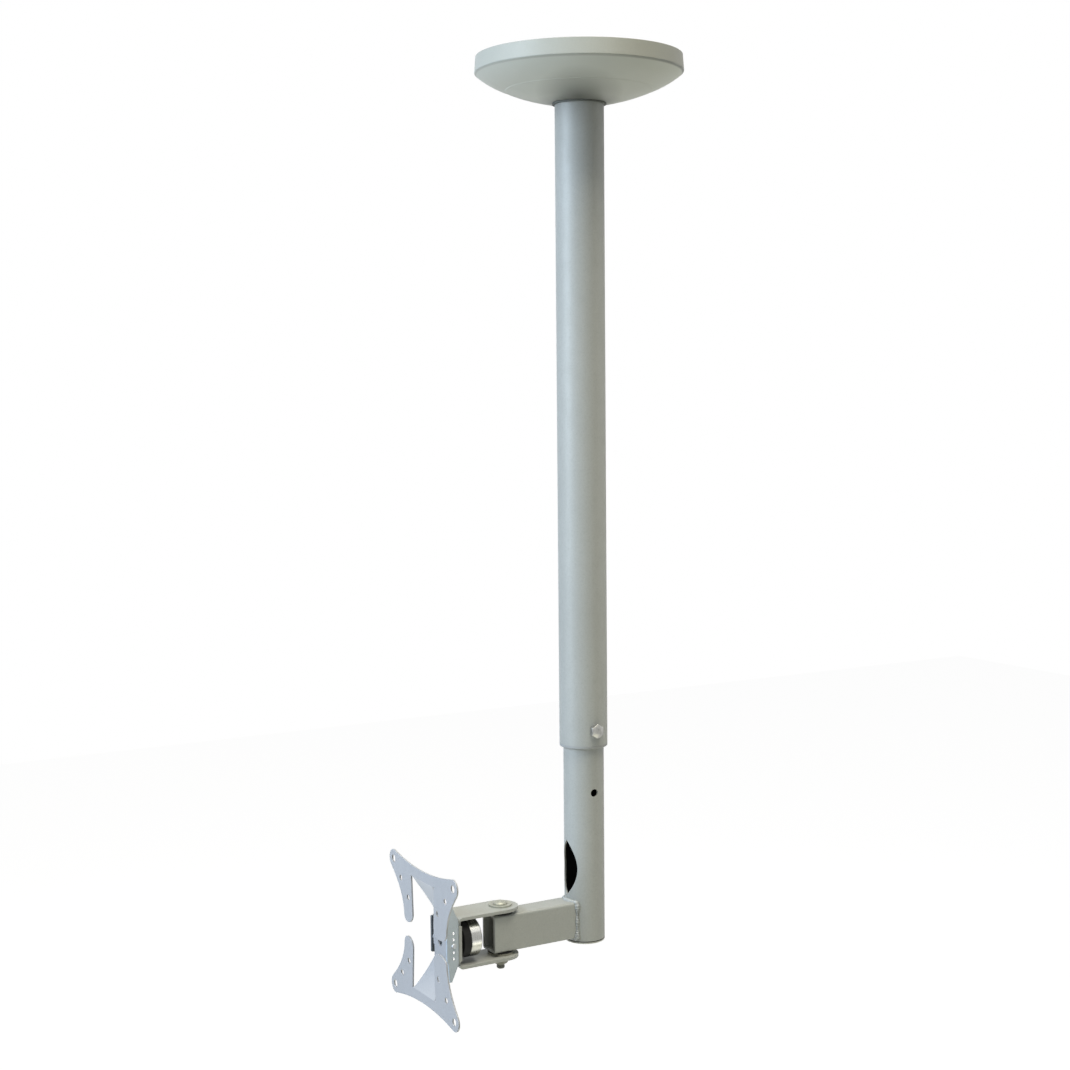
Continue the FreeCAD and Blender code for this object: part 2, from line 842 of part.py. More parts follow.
# Tilt bracket: a bent sheet with two shield-shaped cheeks. Its plan and its
# side view are padded and the piece is what they share.
def tilt_bracket():
    half = size("bracket_half_width")
    back = -bracket_back
    face = -bracket_face
    nose = back - size("bracket_depth")
    plan_body = new_body("bracket_plan")
    inner = size("bracket_sheet") / 2
    outer = inner + size("bracket_sheet")
    plan = new_sketch(plan_body, "bracket_plan_sketch", "XY_Plane", axis_z)
    outline(plan, [
        (half - outer, back),
        (outer - half, back, outer),
        (-half, back - outer),
        (-half, nose - 1),
        (-cheek_inner, nose - 1),
        (-cheek_inner, face - inner, -inner),
        (inner - cheek_inner, face),
        (cheek_inner - inner, face, -inner),
        (cheek_inner, face - inner),
        (cheek_inner, nose - 1),
        (half, nose - 1),
        (half, back - outer, outer),
    ])
    wing = size("bracket_wing_half")
    pad(plan_body, plan, (wing + size("bracket_rise")) * 2 + 2, middle=True)
    side_body = new_body("bracket_side")
    side = new_sketch(side_body, "bracket_side_sketch", "YZ_Plane")
    tail = size("bracket_back_half")
    wing_back = back - size("bracket_wing_back")
    wing_front = back - size("bracket_wing_front")
    tip = size("bracket_nose_half")
    middle = axis_z + size("bracket_rise")
    step = size("bracket_nose_step")
    outline(side, [
        (back, middle - tail),
        (back, middle + tail),
        (wing_back, middle + wing),
        (wing_front, middle + wing),
        (nose + step, middle + tip + step),
        (nose, middle + tip),
        (nose, middle - tip),
        (nose + step, middle - tip - step),
        (wing_front, middle - wing),
        (wing_back, middle - wing),
    ])
    pad(side_body, side, half * 2 + 2, middle=True)
    blank = common("bracket_blank", plan_body, side_body)
    tools = [primitive("Cylinder", "bracket_roll_hole", {
        "Radius": size("roll_bolt_radius"),
        "Height": bracket_face + 1,
    }, ALONG_ARM, {"z": axis_z})]
    tools.append(primitive("Cylinder", "bracket_pivot_hole", {
        "Radius": size("pivot_radius") + size("pin_clearance"),
        "Height": half * 2 + 2,
    }, ALONG_X, {"x": -half - 1, "y": -pivot_reach, "z": axis_z}))
    for index in (-2, -1, 1, 2):
        tools.append(primitive("Cylinder", "bracket_mark_%d" % (index + 2), {
            "Radius": size("mark_radius"),
            "Height": half * 2 + 2,
        }, ALONG_X, {"x": -half - 1, "y": -pivot_reach, "z": axis_z + size("mark_pitch") * index}))
    return cut("tilt_bracket", blank, fuse("bracket_holes", tools))


# Screen plate: upper and lower bands with ears and fingers, joined by a
# recessed bridge, with two lugs on its back that turn on the pivot screws.
def band_outline(sketch, up):
    """Half of the plate's front view; up is 1 for the upper half, -1 for the lower."""
    hole = size("hole_large")
    ear = size("ear_radius")
    tip_x = size("finger_tip_x")
    tip_z = size("finger_tip_z")
    tip = size("finger_tip_radius")
    flank = size("flank_radius")
    slot = size("slot_side")
    top_x = hole - ear / 3
    top_z = hole + ear * 0.9428090
    sag = size("top_edge_sag")
    arch = (top_x * top_x + sag * sag) / (sag * 2)
    side_x = hole + ear * 0.8
    side_z = hole - ear * 0.6
    flank_x = tip_x + tip * 0.848
    flank_z = tip_z + tip * 0.53

    def at(x, z, radius=None):
        level = screen_z + z * up
        return (x, level) if radius is None else (x, level, radius * up)

    outline(sketch, [
        at(top_x, top_z, -ear),
        at(hole + ear, hole, -ear),
        at(side_x, side_z, flank),
        at(flank_x, flank_z, -tip),
        at(tip_x, tip_z - tip, -tip),
        at(tip_x - tip, tip_z),
        at(slot, size("slot_top")),
        at(-slot, size("slot_top")),
        at(tip - tip_x, tip_z, -tip),
        at(-tip_x, tip_z - tip, -tip),
        at(-flank_x, flank_z, flank),
        at(-side_x, side_z, -ear),
        at(-hole - ear, hole, -ear),
        at(-top_x, top_z, arch),
    ])


def bridge_body():
    """The bridge is what its front view and its bent side view share."""
    front_body = new_body("bridge_front")
    front = new_sketch(front_body, "bridge_front_sketch", "XZ_Plane", bridge_back - 1)
    half = size("waist_half")
    wide = size("slot_side") - size("slot_gap")
    top = size("slot_top")
    end = top + 2
    straight = size("waist_straight")
    run = top - straight
    flare = wide - half
    curve = (run * run + flare * flare) / (flare * 2)
    outline(front, [
        (wide, screen_z + end),
        (-wide, screen_z + end),
        (-wide, screen_z + top, -curve),
        (-half, screen_z + straight),
        (-half, screen_z - straight, -curve),
        (-wide, screen_z - top),
        (-wide, screen_z - end),
        (wide, screen_z - end),
        (wide, screen_z - top, -curve),
        (half, screen_z - straight),
        (half, screen_z + straight, -curve),
        (wide, screen_z + top),
    ])
    circle(front, ZERO, axis_z, size("access_radius"))
    pad(front_body, front, size("bridge_recess") + size("screen_sheet") + 2)
    side_body = new_body("bridge_side")
    side = new_sketch(side_body, "bridge_side_sketch", "YZ_Plane")
    flat = size("bridge_flat_half")
    rise = size("bridge_recess")
    length = top - flat
    slant = root(rise * rise + length * length)
    shift = size("screen_sheet") * (slant - length) / rise
    face = -screen_reach
    back = face + size("screen_sheet")
    inset_face = -bridge_front
    inset_back = -bridge_back
    outline(side, [
        (face, screen_z + end),
        (face, screen_z + top),
        (inset_face, screen_z + flat),
        (inset_face, screen_z - flat),
        (face, screen_z - top),
        (face, screen_z - end),
        (back, screen_z - end),
        (back, screen_z - top - shift),
        (inset_back, screen_z - flat - shift),
        (inset_back, screen_z + flat + shift),
        (back, screen_z + top + shift),
        (back, screen_z + end),
    ])
    pad(side_body, side, size("slot_side") * 2 + 2, middle=True)
    return common("bridge", front_body, side_body)


def plate_lugs():
    body = new_body("lugs")
    side = new_sketch(body, "lug_side", "YZ_Plane")
    pivot = -pivot_reach
    end = size("lug_end_radius")
    rise = end * 0.8
    run = end * 0.6
    deep = -bridge_front
    outline(side, [
        (deep, axis_z + size("lug_root_high")),
        (deep, axis_z - size("lug_root_low")),
        (pivot + run, axis_z - rise, end),
        (pivot + run, axis_z + rise),
    ])
    circle(side, pivot, axis_z, size("pivot_radius"))
    pad(body, side, lug_outer * 2, middle=True)
    middle = new_sketch(body, "lug_gap", "YZ_Plane")
    far = size("lug_root_high") + size("lug_root_low") + 2
    outline(middle, [
        (deep - 1, axis_z - far),
        (pivot + end + 1, axis_z - far),
        (pivot + end + 1, axis_z + far),
        (deep - 1, axis_z + far),
    ])
    pocket(body, middle, lug_inner * 2, middle=True)
    return body


def screen_plate():
    bands = []
    for name, up in (("upper", 1), ("lower", -1)):
        body = new_body("band_" + name)
        back = screen_reach - size("screen_sheet")
        front = new_sketch(body, "band_front_" + name, "XZ_Plane", back)
        band_outline(front, up)
        for spread, radius in (("hole_large", "corner_hole_radius"),
                               ("hole_middle", "inner_hole_radius"),
                               ("hole_small", "inner_hole_radius")):
            offset = size(spread)
            for side in (1, -1):
                circle(front, offset * side, screen_z + offset * up, size(radius))
        pad(body, front, size("screen_sheet"))
        bands.append(body)
    return fuse("screen_plate", bands + [bridge_body(), plate_lugs()])


# Two pivot screws, one each side, through the cheeks into the lugs.
def pivot_screws():
    screws = []
    outer = size("bracket_half_width") + size("face_gap") / 2
    for name, side in (("left", -1), ("right", 1)):
        length = outer - lug_inner
        start = lug_inner if side > 0 else -outer
        shank = primitive("Cylinder", "pivot_shank_" + name, {
            "Radius": size("pivot_radius"), "Height": length,
        }, ALONG_X, {"x": start, "y": -pivot_reach, "z": axis_z})
        shoulder_start = lug_outer + size("face_gap") / 2
        shoulder_end = cheek_inner - size("face_gap") / 2
        shoulder = primitive("Cylinder", "pivot_shoulder_" + name, {
            "Radius": size("pivot_shoulder_radius"), "Height": shoulder_end - shoulder_start,
        }, ALONG_X, {"x": shoulder_start if side > 0 else -shoulder_end, "y": -pivot_reach, "z": axis_z})
        edge = outer if side > 0 else -outer - size("pivot_head_height")
        base = size("pivot_head_radius")
        small = base * 0.7
        head = primitive("Cone", "pivot_head_" + name, {
            "Radius1": base if side > 0 else small,
            "Radius2": small if side > 0 else base,
            "Height": size("pivot_head_height"),
        }, ALONG_X, {"x": edge, "y": -pivot_reach, "z": axis_z})
        screws.append(fuse("pivot_screw_" + name, [shank, shoulder, head]))
    return group("pivot_screws", screws)


NODES = [
    ceiling_plate(),
    ceiling_cover(),
    cover_ring(),
    outer_tube(),
    guide_bush(),
    lock_bolt(),
    inner_tube(),
    upper_guide(),
    tube_cap(),
    arm(),
    arm_sleeve(),
    clevis(),
    swivel_spacers(),
    swivel_washer(),
    swivel_bolt(),
    swivel_nut(),
    roll_bolt(),
    roll_disc(),
    friction_washer(),
    roll_collar(),
    tilt_bracket(),
    screen_plate(),
    pivot_screws(),
]

doc.recompute()

faults = []
for item in doc.Objects:
    if "Invalid" in item.State or "Error" in item.State:
        faults.append("%s: %s" % (item.Label, item.State))
for node in NODES:
    if node.Shape.isNull() or not node.Shape.isValid():
        faults.append("%s: bad shape" % node.Label)
if faults:
    raise RuntimeError("; ".join(faults))

os.makedirs("parts", exist_ok=True)
for node in NODES:
    node.Shape.exportStep("parts/%s.step" % node.Label)
    box = node.Shape.BoundBox
    print("%-16s %2d solids %9.1f mm3  z %.1f to %.1f" % (
        node.Label, len(node.Shape.Solids), node.Shape.Volume, box.ZMin, box.ZMax))
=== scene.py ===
import math

import bmesh
import bpy
from mathutils import Matrix, Vector


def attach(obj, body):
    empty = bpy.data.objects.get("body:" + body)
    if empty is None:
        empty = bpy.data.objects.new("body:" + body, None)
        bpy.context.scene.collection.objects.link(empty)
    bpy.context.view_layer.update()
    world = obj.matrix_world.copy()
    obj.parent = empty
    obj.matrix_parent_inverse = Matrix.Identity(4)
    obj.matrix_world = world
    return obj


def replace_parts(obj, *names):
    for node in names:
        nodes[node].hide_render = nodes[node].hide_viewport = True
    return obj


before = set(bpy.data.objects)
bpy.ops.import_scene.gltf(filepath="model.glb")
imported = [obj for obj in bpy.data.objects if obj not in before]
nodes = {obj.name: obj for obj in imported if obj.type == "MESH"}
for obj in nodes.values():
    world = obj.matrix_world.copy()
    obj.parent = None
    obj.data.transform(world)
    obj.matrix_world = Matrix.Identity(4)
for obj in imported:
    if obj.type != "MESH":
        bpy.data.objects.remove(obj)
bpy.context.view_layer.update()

MM = 0.001

# Main measures of the CAD model that the added pieces sit on, in metres.
AXIS_Z = -672.4 * MM
OUTER_RADIUS = 19.0 * MM
OUTER_BORE = 17.6 * MM
INNER_RADIUS = 16.0 * MM
INNER_BORE = 14.6 * MM
ARM_WIDTH = 20.0 * MM
ARM_HEIGHT = 29.2 * MM
ARM_CORNER = 2.0 * MM
SWIVEL_Y = -77.0 * MM
PIVOT_Y = -125.9 * MM
MARK_PITCH = 4.9 * MM
CHEEK_OUT = 16.0 * MM
CHEEK_IN = 13.0 * MM
BOLT_TIP_LOW = -702.2 * MM
BOLT_TIP_HIGH = -698.9 * MM
BOLT_TIP_RADIUS = 3.0 * MM
FORK_LOW = -692.5 * MM
COVER_END = -36.0 * MM
COVER_RIM = 79.5 * MM
CAP_SEAT = -689.4 * MM
DISC_RADIUS = 15.0 * MM
SPACER_DARK_TO = -688.3 * MM
PLATE_Z = -667.2 * MM
PLATE_FRONT = -143.8 * MM
CHEEK_MIDDLE = AXIS_Z + 2.2 * MM
CHEEK_FRONT = -129.0 * MM

# Painted light and shade on the cover: painted shade in a ring at the pole, in a patch beside
# it and on a band that darkens to one side, and painted light on a paler underside. They are
# laid out along and across TONE_TURN, a turn from -Y towards +X. They follow the light in the
# photograph and stay on the part in any other light.
TONE_TURN = math.radians(58.5)
SHADE_RING = 34.0 * MM
PATCH_OUT = 26.0 * MM
PATCH_LONG = 46.0 * MM
PATCH_WIDE = 34.0 * MM
SIDE_START = 20.0 * MM
SIDE_END = 75.0 * MM

# Height from which painted shade darkens the outer tube towards the cover, as in the photograph.
TUBE_SHADE_START = -95.0 * MM

# Most values of a noise lie between these two.
NOISE_SPAN = (0.3, 0.7)

# Cosine between a rounded and a flat normal where an edge begins to show, and where it is full.
EDGE_SPAN = (0.995, 0.86)
BEVEL_SAMPLES = 6


# Node helpers for materials.
class Shader:
    """A node material with short ways to add and link nodes."""

    def __init__(self, name):
        self.material = bpy.data.materials.new(name)
        self.material.use_nodes = True
        self.tree = self.material.node_tree
        self.tree.nodes.clear()
        self.output = self.add("ShaderNodeOutputMaterial")
        self.place = self.add("ShaderNodeTexCoord").outputs["Object"]

    def add(self, kind, **settings):
        node = self.tree.nodes.new(kind)
        for key, value in settings.items():
            setattr(node, key, value)
        return node

    def link(self, start, end):
        self.tree.links.new(start, end)

    def feed(self, socket, value):
        if hasattr(value, "links"):
            self.link(value, socket)
        else:
            socket.default_value = value

    def math(self, operation, first, second=0.0):
        node = self.add("ShaderNodeMath", operation=operation)
        self.feed(node.inputs[0], first)
        self.feed(node.inputs[1], second)
        return node.outputs[0]

    def remap(self, value, low, high, start=0.0, end=1.0):
        node = self.add("ShaderNodeMapRange")
        self.feed(node.inputs["Value"], value)
        node.inputs["From Min"].default_value = low
        node.inputs["From Max"].default_value = high
        node.inputs["To Min"].default_value = start
        node.inputs["To Max"].default_value = end
        return node.outputs["Result"]

    def noise(self, size, detail=3.0, rough=0.55, stretch=None):
        """Noise whose features are about that many metres across."""
        node = self.add("ShaderNodeTexNoise")
        node.inputs["Scale"].default_value = 1.0 / size
        node.inputs["Detail"].default_value = detail
        node.inputs["Roughness"].default_value = rough
        if stretch is None:
            self.link(self.place, node.inputs["Vector"])
        else:
            mapping = self.add("ShaderNodeMapping")
            mapping.inputs["Scale"].default_value = stretch
            self.link(self.place, mapping.inputs["Vector"])
            self.link(mapping.outputs["Vector"], node.inputs["Vector"])
        return node.outputs["Fac"]

    def cells(self, size):
        """One random grey for each cell of about that many metres."""
        node = self.add("ShaderNodeTexVoronoi")
        node.inputs["Scale"].default_value = 1.0 / size
        self.link(self.place, node.inputs["Vector"])
        grey = self.add("ShaderNodeRGBToBW")
        self.link(node.outputs["Color"], grey.inputs["Color"])
        return grey.outputs[0]

    def part(self, axis):
        """One coordinate of the point in the row frame."""
        split = self.add("ShaderNodeSeparateXYZ")
        self.link(self.place, split.inputs["Vector"])
        return split.outputs[axis]

    def turned(self, way):
        """The point's place along, or across, the direction of TONE_TURN."""
        if way == "along":
            shares = (math.sin(TONE_TURN), -math.cos(TONE_TURN))
        else:
            shares = (math.cos(TONE_TURN), math.sin(TONE_TURN))
        east = self.math("MULTIPLY", self.part("X"), shares[0])
        north = self.math("MULTIPLY", self.part("Y"), shares[1])
        return self.math("ADD", east, north)

    def pole_distance(self):
        """The point's distance from the pole's axis."""
        across = self.math("POWER", self.part("X"), 2.0)
        along = self.math("POWER", self.part("Y"), 2.0)
        return self.math("SQRT", self.math("ADD", across, along))

    def mix(self, factor, first, second):
        node = self.add("ShaderNodeMix", data_type="RGBA")
        self.feed(node.inputs["Factor"], factor)
        self.feed(node.inputs["A"], first)
        self.feed(node.inputs["B"], second)
        return node.outputs["Result"]

    def ramp(self, value, stops):
        node = self.add("ShaderNodeValToRGB")
        elements = node.color_ramp.elements
        while len(elements) < len(stops):
            elements.new(0.5)
        for element, (position, colour) in zip(elements, stops):
            element.position = position
            element.color = colour
        self.link(value, node.inputs["Fac"])
        return node.outputs["Color"]

    def rounded(self, radius):
        """The normal as if every edge had this radius."""
        node = self.add("ShaderNodeBevel", samples=BEVEL_SAMPLES)
        node.inputs["Radius"].default_value = radius
        return node.outputs["Normal"]

    def edges(self, radius):
        """1 on edges, 0 on flat and gently curved faces."""
        soft = self.rounded(radius)
        face = self.add("ShaderNodeNewGeometry").outputs["Normal"]
        dot = self.add("ShaderNodeVectorMath", operation="DOT_PRODUCT")
        self.link(soft, dot.inputs[0])
        self.link(face, dot.inputs[1])
        return self.remap(dot.outputs["Value"], *EDGE_SPAN)

    def bump(self, height, distance, strength, normal=None):
        node = self.add("ShaderNodeBump")
        node.inputs["Distance"].default_value = distance
        node.inputs["Strength"].default_value = strength
        self.link(height, node.inputs["Height"])
        if normal is not None:
            self.link(normal, node.inputs["Normal"])
        return node.outputs["Normal"]

    def finish(self, colour, rough, metallic=0.0, normal=None, specular=0.5):
        surface = self.add("ShaderNodeBsdfPrincipled")
        self.feed(surface.inputs["Base Color"], colour)
        self.feed(surface.inputs["Roughness"], rough)
        self.feed(surface.inputs["Metallic"], metallic)
        surface.inputs["Specular IOR Level"].default_value = specular
        if normal is not None:
            self.link(normal, surface.inputs["Normal"])
        self.link(surface.outputs["BSDF"], self.output.inputs["Surface"])
        return self.material


def scaled(colour, factor):
    return tuple(channel * factor for channel in colour[:3]) + (1.0,)


def silver_paint(name, colour, edge_radius=0.45 * MM,
                 bore=None, cover_shade_from=None, shaded_from=None, painted_light_lift=1.0):
    """Silver powder paint: fine flakes, faint orange peel, edges with a painted highlight.

    With bore, what lies within that distance of the pole's axis is nearly black as painted shade.
    With cover_shade_from, painted shade darkens the paint from that height up to the cover.
    With shaded_from, what lies on the -X side of that place is dark with painted shade.
    With painted_light_lift, faces that look downwards are paler by that factor: painted light."""
    s = Shader(name)
    broad = s.noise(70 * MM, 2.0)
    middle = s.noise(9 * MM, 4.0)
    flakes = s.cells(0.35 * MM)
    tone = s.mix(s.remap(broad, *NOISE_SPAN), scaled(colour, 0.96), scaled(colour, 1.03))
    tone = s.mix(s.remap(middle, 0.45, 0.75, 0.0, 0.5), tone, scaled(colour, 0.93))
    tone = s.mix(s.remap(flakes, 0.55, 1.0, 0.0, 0.35), tone, scaled(colour, 1.22))
    tone = s.mix(s.remap(flakes, 0.45, 0.0, 0.0, 0.3), tone, scaled(colour, 0.8))
    spots = s.remap(s.noise(1.5 * MM, 3.0), 0.5, 0.7, 0.0, 0.45)
    tone = s.mix(spots, tone, scaled(colour, 0.84))
    # Painted shade of the cover, darkening the tube towards it.
    if cover_shade_from is not None:
        upwards = s.remap(s.part("Z"), cover_shade_from, COVER_END, 0.0, 0.4)
        tone = s.mix(upwards, tone, scaled(colour, 0.35))
    # Painted shade on the -X side, between the bracket's cheeks.
    if shaded_from is not None:
        shaded = s.remap(s.part("X"), shaded_from, shaded_from - 1 * MM)
        tone = s.mix(shaded, tone, scaled(colour, 0.22))
    # Painted light: faces that look downwards are made paler.
    if painted_light_lift != 1.0:
        split = s.add("ShaderNodeSeparateXYZ")
        s.link(s.add("ShaderNodeNewGeometry").outputs["True Normal"], split.inputs["Vector"])
        tone = s.mix(s.remap(split.outputs["Z"], -0.2, -0.3), tone, scaled(colour, painted_light_lift))
    # Painted highlight: edges paler and a little smoother, broken up by noise.
    edges = s.edges(edge_radius)
    pale_edge_mask = s.math("MULTIPLY", edges, s.remap(s.noise(2.5 * MM, 5.0, 0.7), 0.42, 0.6, 0.25, 1.0))
    tone = s.mix(s.math("MULTIPLY", pale_edge_mask, 0.55), tone, scaled(colour, 1.35))
    matte = s.remap(middle, *NOISE_SPAN, 0.47, 0.56)
    rough = s.math("SUBTRACT", matte, s.math("MULTIPLY", pale_edge_mask, 0.14))
    # Painted shade: nearly black inside the tubes.
    if bore is not None:
        inside = s.remap(s.pole_distance(), bore, bore + 0.1 * MM, 1.0, 0.0)
        tone = s.mix(inside, tone, (0.004, 0.004, 0.004, 1.0))
        rough = s.math("MAXIMUM", rough, s.math("MULTIPLY", inside, 0.85))
    peel = s.bump(s.noise(0.9 * MM, 3.0), 0.05 * MM, 0.22, s.rounded(edge_radius))
    return s.finish(tone, rough, 0.12, peel, 0.35)


def cover_light_and_shade(s, tone, colour):
    """Painted shade on a band to one side and near the pole; painted light on a paler underside.
    """
    # Painted shade darkens the band to one side; painted light makes the underside paler.
    side = s.remap(s.turned("across"), SIDE_START, SIDE_END)
    under = s.remap(s.pole_distance(), COVER_RIM, COVER_RIM - 1 * MM)
    band = s.mix(side, tone, scaled(colour, 0.66))
    tone = s.mix(under, band, s.mix(side, scaled(colour, 1.3), scaled(colour, 1.55)))

    # Painted shade: a ring round the pole and a patch beside it.
    dark = scaled(colour, 0.3)
    ring = s.remap(s.pole_distance(), SHADE_RING, OUTER_RADIUS)
    tone = s.mix(s.math("MULTIPLY", s.math("POWER", ring, 1.3), 0.8), tone, dark)

    out = s.math("SUBTRACT", s.turned("along"), PATCH_OUT)
    along = s.math("MULTIPLY", out, 1 / PATCH_LONG)
    across = s.math("MULTIPLY", s.turned("across"), 1 / PATCH_WIDE)
    squares = s.math("ADD", s.math("POWER", along, 2.0), s.math("POWER", across, 2.0))
    return s.mix(s.remap(s.math("SQRT", squares), 1.0, 0.0), tone, dark)


def moulded_plastic(name, colour, rough=0.5, specular=0.4, cover=False):
    """Satin plastic with a fine grain; with cover, it has the cover's painted light and shade."""
    s = Shader(name)
    broad = s.noise(60 * MM, 3.0)
    fine = s.noise(1.2 * MM, 4.0)
    tone = s.mix(s.remap(broad, *NOISE_SPAN), scaled(colour, 0.95), scaled(colour, 1.04))
    tone = s.mix(s.remap(fine, 0.35, 0.75, 0.0, 0.4), tone, scaled(colour, 0.88))
    if cover:
        tone = cover_light_and_shade(s, tone, colour)
    shine = s.remap(s.noise(14 * MM, 3.0), *NOISE_SPAN, rough - 0.05, rough + 0.06)
    grain = s.bump(s.noise(0.6 * MM, 4.0), 0.04 * MM, 0.3, s.rounded(0.5 * MM))
    return s.finish(tone, shine, 0.0, grain, specular)


def spacer_plastic(name, colour, pale, pale_below):
    """Black spacer, painted pale under the given height as a painted reflection."""
    s = Shader(name)
    fine = s.noise(1.2 * MM, 4.0)
    tone = s.mix(s.remap(fine, 0.35, 0.75), scaled(colour, 1.0), scaled(colour, 1.6))
    # Painted reflection: pale under the given height.
    low = s.remap(s.part("Z"), pale_below + 0.2 * MM, pale_below - 0.2 * MM)
    tone = s.mix(low, tone, s.mix(fine, scaled(pale, 0.85), scaled(pale, 1.1)))
    shine = s.remap(fine, *NOISE_SPAN, 0.5, 0.65)
    return s.finish(tone, shine, 0.0, s.bump(fine, 0.04 * MM, 0.3), 0.2)


def rubber(name, colour):
    """Matte rubber with a fine grain."""
    s = Shader(name)
    fine = s.noise(1.0 * MM, 5.0)
    tone = s.mix(fine, scaled(colour, 0.7), scaled(colour, 1.5))
    grain = s.bump(fine, 0.06 * MM, 0.4)
    return s.finish(tone, s.remap(fine, *NOISE_SPAN, 0.62, 0.78), 0.0, grain, 0.2)


def end_cap(name, colour):
    """Plug whose seam with the tube is dark with painted shade."""
    s = Shader(name)
    fine = s.noise(1.2 * MM, 4.0)
    tone = s.mix(s.remap(fine, 0.35, 0.75, 0.0, 0.4), scaled(colour, 1.0), scaled(colour, 0.88))
    # Painted shade along the seam with the tube.
    seam = s.remap(s.part("Z"), CAP_SEAT - 0.9 * MM, CAP_SEAT - 0.7 * MM)
    tone = s.mix(seam, tone, scaled(colour, 0.06))
    shine = s.remap(fine, *NOISE_SPAN, 0.45, 0.6)
    return s.finish(tone, shine, 0.0, s.bump(fine, 0.04 * MM, 0.3), 0.3)


def plated_steel(name, colour, rough=0.3, patches=4.0 * MM,
                 edge_highlight_gain=1.25, metallic=1.0, dark_below=None):
    """Zinc or nickel on steel: faint cloudy patches, fine scratches and painted edge highlights.

    The painted highlight makes the edges brighter by the factor edge_highlight_gain.
    With dark_below, the plating under that height is dark."""
    s = Shader(name)
    cloud = s.noise(patches, 4.0, 0.65)
    fine = s.noise(0.5 * MM, 3.0)
    tone = s.mix(s.remap(cloud, 0.35, 0.7), scaled(colour, 0.84), scaled(colour, 1.06))
    # Painted highlight on the edges.
    tone = s.mix(s.math("MULTIPLY", s.edges(0.3 * MM), 0.6), tone, scaled(colour, edge_highlight_gain))
    if dark_below is not None:
        low = s.remap(s.part("Z"), dark_below, dark_below - 1 * MM)
        tone = s.mix(low, tone, scaled(colour, 0.28))
    cloudy = s.remap(cloud, *NOISE_SPAN, rough - 0.06, rough + 0.1)
    shine = s.math("ADD", cloudy, s.remap(fine, *NOISE_SPAN, 0.0, 0.05))
    scratch = s.noise(0.4 * MM, 4.0, 0.6, (1.0, 1.0, 0.12))
    relief = s.bump(scratch, 0.02 * MM, 0.35, s.rounded(0.3 * MM))
    return s.finish(tone, shine, metallic, relief)


# Painted reflection and shadow bands on the turned disc from its bottom to its top, as the
# photograph shows them between the fork's legs. They are painted on and stay in any other light.
DISC_REFLECTION_BANDS = [(0.0, 0.12), (0.12, 0.3), (0.4, 0.33), (0.45, 0.95), (0.5, 0.95),
               (0.55, 0.5), (0.72, 0.55), (0.76, 1.1), (0.86, 1.1), (0.9, 0.03), (1.0, 0.03)]


def turned_steel(name, colour):
    """Lathe-turned steel: fine rings round the arm's axis, over painted reflection and shadow
    bands.
    """
    s = Shader(name)
    rings = s.noise(0.5 * MM, 3.0, 0.6, (0.02, 1.0, 0.02))
    cloud = s.noise(6 * MM, 4.0)
    # Painted reflection and shadow, in bands by height.
    level = s.remap(s.part("Z"), AXIS_Z - DISC_RADIUS, AXIS_Z + DISC_RADIUS)
    painted_reflection = s.ramp(level, [(stop, scaled(colour, shade)) for stop, shade in DISC_REFLECTION_BANDS])
    tone = s.mix(s.remap(rings, *NOISE_SPAN, 0.0, 0.35), painted_reflection, scaled(colour, 0.5))
    tone = s.mix(s.remap(cloud, 0.4, 0.7, 0.0, 0.4), tone, scaled(colour, 0.8))
    shine = s.remap(rings, *NOISE_SPAN, 0.2, 0.34)
    relief = s.bump(rings, 0.02 * MM, 0.5, s.rounded(0.3 * MM))
    return s.finish(tone, shine, 1.0, relief)


PAINT = (0.43, 0.45, 0.43, 1.0)
# The plate's, the cheeks' and the weld's paints below are the same paint as PAINT, made bluer and
# paler as painted light.
LIT_PLATE_PAINT = (0.455, 0.47, 0.49, 1.0)
LIT_CHEEK_PAINT = (0.52, 0.6, 0.67, 1.0)
LIT_WELD_PAINT = (0.46, 0.49, 0.49, 1.0)
COVER = (0.44, 0.46, 0.42, 1.0)
GREY = (0.38, 0.4, 0.4, 1.0)
# The plug's pale colour is in part painted light, for the light it catches from below.
CAP = (0.7, 0.72, 0.68, 1.0)
BLACK = (0.006, 0.006, 0.006, 1.0)
SPACER_REFLECTION_PALE = (0.3, 0.3, 0.25, 1.0)
RUBBER = (0.012, 0.012, 0.012, 1.0)
# Painted shadow: the cover ring's dark grey stands in for the shadow gap at the pole.
SHADOW_RING_GREY = (0.13, 0.14, 0.13, 1.0)
ZINC = (0.42, 0.43, 0.37, 1.0)
NUT_ZINC = (0.2, 0.2, 0.16, 1.0)
LOCK_ZINC = (0.36, 0.36, 0.34, 1.0)
BRIGHT = (0.78, 0.8, 0.82, 1.0)
PIVOT_STEEL = (0.5, 0.53, 0.56, 1.0)
RAW_STEEL = (0.3, 0.3, 0.27, 1.0)
COLLAR_STEEL = (0.3, 0.3, 0.24, 1.0)
DISC_STEEL = (0.72, 0.72, 0.68, 1.0)

